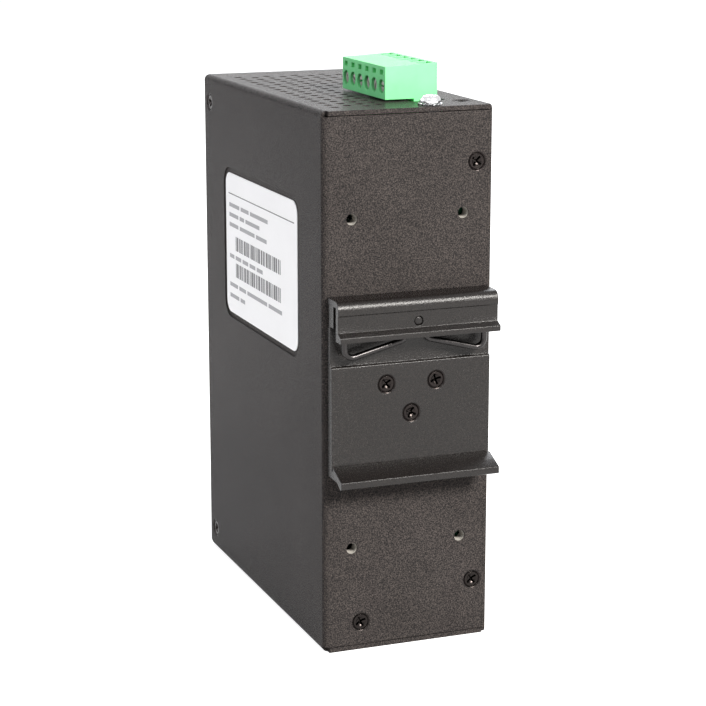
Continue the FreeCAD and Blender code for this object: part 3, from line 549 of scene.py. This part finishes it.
def dress_mount_nuts():
    """Press nuts: hexagons behind the wall, and tapped collars that show in its holes."""
    wall, deep = 1.2, 2.2
    mouth, outer = 1.485, 1.8
    thread = thread_profile(crest=1.3, root=1.46, low=-deep + 0.2, high=wall - 0.45, pitch=0.5)
    collar = lathe_mesh("nut_collar", [(1.5, -deep), *thread, (1.42, wall - 0.32),
                                       (mouth, wall - 0.3), (mouth, 0.0), (outer, 0.0),
                                       (outer, -deep), (1.5, -deep)], steps=36)
    bm = bmesh.new()
    inside, outside = ring_of(1.75, 6), ring_of(3.08, 6)
    section = ((inside, 0.0), (outside, 0.0), (outside, -deep), (inside, -deep))
    rings = [[bm.verts.new((x * MM, y * MM, z * MM)) for x, y in ring] for ring, z in section]
    for k, ring in enumerate(rings):
        bridge(bm, ring, rings[(k + 1) % len(rings)])
    bmesh.ops.recalc_face_normals(bm, faces=bm.faces)
    hexagon = mesh_from(bm, "nut_hexagon")
    placed = []
    for low, high in islands("wall_mount_nuts"):
        seat = stand(face_centre(low, high, BACK), BACK)
        placed += [(collar, seat), (hexagon, seat)]
    zinc = moulded("nut_zinc", (0.3, 0.285, 0.26), 0.5, edge=0, Specular_IOR_Level=0.05)
    piece = new_piece("wall_mount_nuts_detail", merge(placed, "wall_mount_nuts_detail"), "tinned",
                      material=zinc)
    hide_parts("wall_mount_nuts")


def dress_pin():
    """Pin of the spring wire, its end a little below the hook's face in its own hole."""
    low, high = box_of("spring_pin")
    long = (high.y - low.y) / MM
    pin = lathe_mesh("pin", [(0, -0.05), (0.85, -0.06), (1.0, -0.14), (1.06, -0.3), (1.06, -1.2),
                             (1.24, -1.25), (1.24, -long), (0, -long)], steps=40)
    mesh = merge([(pin, stand(face_centre(low, high, BACK), BACK))], "spring_pin_detail")
    piece = new_piece("spring_pin_detail", mesh, "clip_black")
    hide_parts("spring_pin")


dress_mount_nuts()
dress_pin()


# ---------------------------------------------------------------- rail clip

CLIP_EASE = 0.22 * MM        # how far the clip's corners are cut back


def runs_along_clip(edge, shortest=20 * MM, sharpest=math.radians(40)):
    """Whether an edge is a long corner of the clip's extruded profile."""
    run = edge.verts[1].co - edge.verts[0].co
    return (len(edge.link_faces) == 2 and run.length > shortest
            and abs(run.x) > 0.99 * run.length and edge.calc_face_angle() > sharpest)


def dress_clip():
    """The extruded clip with the long edges of its profile eased."""
    bm = bmesh.new()
    bm.from_mesh(frame["nodes"]["din_clip"].data)
    bmesh.ops.remove_doubles(bm, verts=bm.verts, dist=CAD_GAP)
    bmesh.ops.dissolve_limit(bm, angle_limit=math.radians(1), verts=bm.verts, edges=bm.edges)
    bmesh.ops.bevel(bm, geom=[edge for edge in bm.edges if runs_along_clip(edge)],
                    offset=CLIP_EASE, segments=3, profile=0.5, affect="EDGES", clamp_overlap=True)
    weld(bm)
    piece = new_piece("din_clip_detail", mesh_from(bm, "din_clip_detail"), "clip_black")
    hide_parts("din_clip")


dress_clip()


# ---------------------------------------------------------------- terminal plug

def dress_clamp_screws():
    """Slotted clamp screws that look out of the plug's side, each left at its own angle."""
    slot_turns = (20, 65, 100, 38, 152, 84)
    sunk, slot_deep, slot_half, slot_reach = 0.45, 0.9, 0.27, 2
    slot = [(-slot_reach, -slot_half), (slot_reach, -slot_half), (slot_reach, slot_half),
            (-slot_reach, slot_half)]
    plug_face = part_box("terminal_plug")[1][0]
    placed = []
    for (low, high), turn in zip(islands("clamp_screws"), slot_turns):
        long = (high.x - low.x) / MM
        top = (plug_face - high.x) / MM - sunk
        blank = lathe_mesh("clamp_blank", [(0, top), (1.1, top), (1.5, top - 0.1),
                                           (1.66, top - 0.35), (1.66, -1.5), (1.4, -1.7),
                                           (1.4, -long), (0, -long)], steps=36)
        screw = carve(blank, prism_mesh("clamp_slot", slot, top - slot_deep, top + 0.1))
        placed.append((screw, stand(face_centre(low, high, SIDE), SIDE, turn)))
    piece = new_piece("clamp_screws_detail", merge(placed, "clamp_screws_detail"), "tinned",
                      body="plug")
    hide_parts("clamp_screws")


dress_clamp_screws()


# ---------------------------------------------------------------- label print

INK_THICK = 0.02             # millimetres
DASH_GAP = 1.2
STRIPE_FIELDS = (0.46, 0.27)             # heights of their feet, as shares of the label's
MOST_STRIPES = 30
DASH_ROWS = ((0.76, (9, 7, 15)), (0.69, (8, 4, 12)), (0.62, (8, 13, 9)),
             (0.395, (4, 5, 5, 5, 5)), (0.19, (7, 6, 17, 11)), (0.11, (8, 4)))


def add_bar(bm, y, z, long, tall, x):
    """Thin printed bar on the +X face, from its front lower corner, in millimetres."""
    corners = [(y, z), (y + long, z), (y + long, z + tall), (y, z + tall)]
    front = [bm.verts.new(((x + INK_THICK) * MM, a * MM, b * MM)) for a, b in corners]
    back = [bm.verts.new((x * MM, a * MM, b * MM)) for a, b in corners]
    bm.faces.new(front)
    bm.faces.new(back[::-1])
    bridge(bm, back, front)


def print_piece(bm, name, material):
    """Put the printed bars in the scene."""
    new_piece(name, mesh_from(bm, name), "label_white", smooth=False, material=material)


def dress_label():
    """Generic print: one rule, two fields of plain stripes and rows of plain dashes."""
    low, high = (corner / MM for corner in box_of("side_label"))
    wide, tall = high.y - low.y, high.z - low.z
    dark = ink("label_ink", (0.11, 0.11, 0.115), dark=0.9, light=1.15)
    pale = ink("label_ink_pale", (0.33, 0.33, 0.34), dark=0.92, light=1.1)
    bm = bmesh.new()
    add_bar(bm, low.y + 0.04 * wide, high.z - 0.15 * tall, 0.92 * wide, 0.3, high.x)
    for foot in STRIPE_FIELDS:
        y = low.y + 0.14 * wide
        for i in range(MOST_STRIPES):
            stripe = 0.5 + 0.35 * (i * 7 % 4)
            add_bar(bm, y, low.z + foot * tall, stripe, 0.1 * tall, high.x)
            y += stripe + 0.35 + 0.2 * (i * 5 % 3)
            if y > low.y + 0.78 * wide:
                break
    print_piece(bm, "label_stripes", dark)
    bm = bmesh.new()
    for foot, dashes in DASH_ROWS:
        y = low.y + 0.05 * wide
        for dash in dashes:
            add_bar(bm, y, low.z + foot * tall, dash, 0.028 * tall, high.x)
            y += dash + DASH_GAP
    print_piece(bm, "label_dashes", pale)


dress_label()


# ---------------------------------------------------------------- network jacks

JACKS = 5
SHIELD_SKIN = 0.3 * MM
SHIELD_ROUND = 0.35 * MM
INSERT_GAP = 0.75 * MM       # from the shield's outside to the insert
INSERT_SUNK = 0.45 * MM
INSERT_ROUND = 0.2 * MM
SOCKET_IN = 3.2 * MM         # from the jack's low X side to the socket
SOCKET_DEEP = 12 * MM
# The socket and the two steps of its latch notch: low X, high X and half height, in millimetres.
SOCKET_STEPS = ((0.0, 7.0, 5.9), (-1.0, 0.1, 3.1), (-1.7, -0.9, 2.0))
LEAF_PLACES = (0.3, 0.66)    # across the jack, as shares of its width
LEAF_HALF = 1.1 * MM
LEAF_THICK = 0.12 * MM
LEAF_BOW = 0.25 * MM
LEAF_IN = 0.34 * MM          # from the shield's outside to the leaf
LEAF_START, LEAF_LONG = 0.4, 5.0         # from the jack's face, in millimetres
LEAF_STEPS = 8


def leaf_spring(x, face, wall, side):
    """Bowed strip inside the shield's wall at the height wall; side is -1 below and 1 above."""
    bm = bmesh.new()
    thick = side * LEAF_THICK
    rows = []
    for k in range(LEAF_STEPS + 1):
        t = k / LEAF_STEPS
        y = face + (LEAF_START + LEAF_LONG * t) * MM
        z = wall - side * (LEAF_IN + LEAF_BOW * math.sin(math.pi * t))
        rows.append([bm.verts.new((x + dx, y, z + dz)) for dx, dz in
                     ((-LEAF_HALF, 0), (LEAF_HALF, 0), (LEAF_HALF, thick), (-LEAF_HALF, thick))])
    for row, following in zip(rows, rows[1:]):
        bridge(bm, row, following)
    bm.faces.new(rows[0])
    bm.faces.new(rows[-1][::-1])
    bmesh.ops.recalc_face_normals(bm, faces=bm.faces)
    return mesh_from(bm, "leaf")


def dress_jack(port):
    """Folded shield with leaf springs round a dark moulded insert with a stepped socket."""
    node = "network_jack_%d" % port
    low, high = box_of(node)
    middle = (low.z + high.z) / 2
    hollow = box_mesh(Vector((low.x + SHIELD_SKIN, low.y - MM, low.z + SHIELD_SKIN)),
                      high - Vector((SHIELD_SKIN, SHIELD_SKIN, SHIELD_SKIN)))
    parts = [carve(box_mesh(low, high, SHIELD_ROUND), hollow)]
    for side in (-1, 1):
        wall = middle + side * (high.z - low.z) / 2
        for share in LEAF_PLACES:
            parts.append(leaf_spring(low.x + share * (high.x - low.x), low.y, wall, side))
    shield = merge([(part, Matrix.Identity(4)) for part in parts], node + "_shield")
    shield = new_piece(node + "_shield", shield, "jack_shield")
    block = box_mesh(Vector((low.x + INSERT_GAP, low.y + INSERT_SUNK, low.z + INSERT_GAP)),
                     high - Vector((INSERT_GAP, INSERT_GAP, INSERT_GAP)), INSERT_ROUND)
    start = low.x + SOCKET_IN
    for near, far, half in SOCKET_STEPS:
        block = carve(block, box_mesh(
            Vector((start + near * MM, low.y - MM, middle - half * MM)),
            Vector((start + far * MM, low.y + SOCKET_DEEP, middle + half * MM))))
    insert = new_piece(node + "_insert", block, "chip_black")
    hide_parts(node)
    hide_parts(node)


for port_number in range(1, JACKS + 1):
    dress_jack(port_number)


# ---------------------------------------------------------------- spring wire

WIRE_LEG = 12.1 * MM         # from the legs' tops down to the low corners
WIRE_CREST = 8.1 * MM        # from the legs' tops down to where the arms turn up
WIRE_INNER = 3.6 * MM        # half the width at the inner bends
WIRE_BEND = 2.2 * MM
WIRE_FLAT = math.cos(math.pi / 8)        # the CAD wire has eight sides, and their flats lie nearer
BEND_STEPS = 8


def rounded(points, radius):
    """Path through the points, with each inner corner rounded."""
    path = [points[0]]
    for before, corner, after in zip(points, points[1:], points[2:]):
        back, ahead = (before - corner).normalized(), (after - corner).normalized()
        half = back.angle(ahead) / 2
        reach = radius / math.tan(half)
        centre = corner + (back + ahead).normalized() * (radius / math.sin(half))
        start, end = corner + back * reach - centre, corner + ahead * reach - centre
        turn = start.angle(end)
        for k in range(BEND_STEPS + 1):
            t = k / BEND_STEPS
            path.append(centre + (start * math.sin((1 - t) * turn) + end * math.sin(t * turn))
                        / math.sin(turn))
    return path + [points[-1]]


def dress_spring_wire():
    """Round wire on the CAD wire's route: two legs, low corners and arms up to the pin."""
    low, high = box_of("spring_wire")
    pin_low = box_of("spring_pin")[0]
    radius = (high.y - low.y) / 2 / WIRE_FLAT
    side = high.x - radius * WIRE_FLAT
    crest = pin_low.z - radius - 0.02 * MM
    half = [(side, high.z), (side, high.z - WIRE_LEG), (WIRE_INNER, high.z - WIRE_CREST)]
    route = [(-x, z) for x, z in half] + [(0, crest + WIRE_BEND * 0.25)] + half[::-1]
    path = rounded([Vector((x, 0, z)) for x, z in route], WIRE_BEND)
    curve = bpy.data.curves.new("spring_curve", "CURVE")
    curve.dimensions = "3D"
    curve.bevel_depth = radius
    curve.bevel_resolution = 6
    curve.use_fill_caps = True
    spline = curve.splines.new("POLY")
    spline.points.add(len(path) - 1)
    for point, place in zip(spline.points, path):
        point.co = (place.x, (low.y + high.y) / 2, place.z, 1)
    holder = bpy.data.objects.new("spring_holder", curve)
    bpy.context.collection.objects.link(holder)
    mesh = mesh_of_object(holder)
    bpy.data.objects.remove(holder)
    piece = new_piece("spring_wire_detail", mesh, "spring_steel")
    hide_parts("spring_wire")


dress_spring_wire()


# ---------------------------------------------------------------- stage, light and camera

SEEN_RAYS = ("Is Camera Ray", "Is Glossy Ray", "Is Transmission Ray")
WHITE = (1, 1, 1, 1)
SKY_COLOR, SKY_STRENGTH = (0.96, 0.98, 1.0, 1), 0.3
FLOOR_HALF = 6.0
FLOOR_SHADE = (0.62, 0.62, 0.62, 1)
FLOOR_GLOW = 0.82            # added to the floor where it is seen, so that it reads as white


def seen_share(tree):
    """1 for the rays that see a surface, straight or by way of a mirror, and 0 for the others."""
    rays = tree.nodes.new("ShaderNodeLightPath").outputs
    total = rays[SEEN_RAYS[0]]
    for name in SEEN_RAYS[1:]:
        larger = tree.nodes.new("ShaderNodeMath")
        larger.operation = "MAXIMUM"
        tree.links.new(total, larger.inputs[0])
        tree.links.new(rays[name], larger.inputs[1])
        total = larger.outputs[0]
    return total


def make_world():
    """White to look at, and a faint sky as a source of light."""
    world = bpy.data.worlds.new("studio")
    bpy.context.scene.world = world
    world.use_nodes = True
    tree = world.node_tree
    tree.nodes.clear()
    mix = tree.nodes.new("ShaderNodeMixShader")
    tree.links.new(seen_share(tree), mix.inputs["Fac"])
    for slot, color, strength in ((1, SKY_COLOR, SKY_STRENGTH), (2, WHITE, 1.0)):
        background = tree.nodes.new("ShaderNodeBackground")
        background.inputs["Color"].default_value = color
        background.inputs["Strength"].default_value = strength
        tree.links.new(background.outputs[0], mix.inputs[slot])
    out = tree.nodes.new("ShaderNodeOutputWorld")
    tree.links.new(mix.outputs[0], out.inputs["Surface"])


def make_floor():
    """White floor that takes the object's shadow."""
    mesh = bpy.data.meshes.new("floor")
    corners = [(x * FLOOR_HALF, y * FLOOR_HALF, 0) for x, y in ((-1, -1), (1, -1), (1, 1), (-1, 1))]
    mesh.from_pydata(corners, [], [(0, 1, 2, 3)])
    floor = bpy.data.objects.new("floor", mesh)
    bpy.context.collection.objects.link(floor)
    material = bpy.data.materials.new("floor")
    material.use_nodes = True
    tree = material.node_tree
    tree.nodes.clear()
    matte = tree.nodes.new("ShaderNodeBsdfDiffuse")
    matte.inputs["Color"].default_value = FLOOR_SHADE
    strength = tree.nodes.new("ShaderNodeMath")
    strength.operation = "MULTIPLY"
    strength.inputs[1].default_value = FLOOR_GLOW
    glow = tree.nodes.new("ShaderNodeEmission")
    glow.inputs["Color"].default_value = WHITE
    add = tree.nodes.new("ShaderNodeAddShader")
    out = tree.nodes.new("ShaderNodeOutputMaterial")
    tree.links.new(seen_share(tree), strength.inputs[0])
    tree.links.new(strength.outputs[0], glow.inputs["Strength"])
    tree.links.new(matte.outputs[0], add.inputs[0])
    tree.links.new(glow.outputs[0], add.inputs[1])
    tree.links.new(add.outputs[0], out.inputs["Surface"])
    mesh.materials.append(material)


def area_light(name, place, target, size, watts, color=(1, 1, 1)):
    """Rectangular lamp that points from its place to its target."""
    data = bpy.data.lights.new(name, "AREA")
    data.color = color
    data.shape = "RECTANGLE"
    data.size, data.size_y = size
    data.energy = watts
    lamp = bpy.data.objects.new(name, data)
    bpy.context.collection.objects.link(lamp)
    lamp.location = place
    lamp.rotation_euler = (Vector(target) - Vector(place)).to_track_quat("-Z", "Y").to_euler()


make_world()
make_floor()
WARM, COOL, COOLEST = (1.0, 0.965, 0.92), (0.94, 0.96, 1.0), (0.92, 0.92, 1.0)
area_light("key", place=(-0.44, 1.2, 0.85), target=(0, 0.05, 0.09), size=(0.35, 0.35), watts=42,
           color=WARM)
area_light("kicker", place=(0.75, 0.85, 1.0), target=(0, 0.03, 0.1), size=(0.3, 0.3), watts=2)
area_light("side", place=(1.1, -0.6, 0.5), target=(0, 0, 0.09), size=(0.8, 0.8), watts=5.4,
           color=COOLEST)
area_light("rim", place=(-0.3, -1.5, 0.42), target=(0, 0, 0.12), size=(1.2, 0.4), watts=1.2,
           color=COOL)
area_light("front", place=(-0.45, -1.2, 1.05), target=(0, 0, 0.08), size=(0.9, 0.6), watts=11.5,
           color=COOL)

# A long lens that looks from above at the rear and the label side.
camera_data = bpy.data.cameras.new("camera")
camera_data.lens = 108.98
camera_data.sensor_width = 36.0
camera_data.clip_start = 0.01
camera = bpy.data.objects.new("camera", camera_data)
bpy.context.collection.objects.link(camera)
camera.location = (0.20541, 0.53858, 0.20450)
camera.rotation_euler = Euler((math.radians(76.7905), 0.0, math.radians(158.9157)))
bpy.context.scene.camera = camera
bpy.context.scene.view_settings.view_transform = "Standard"
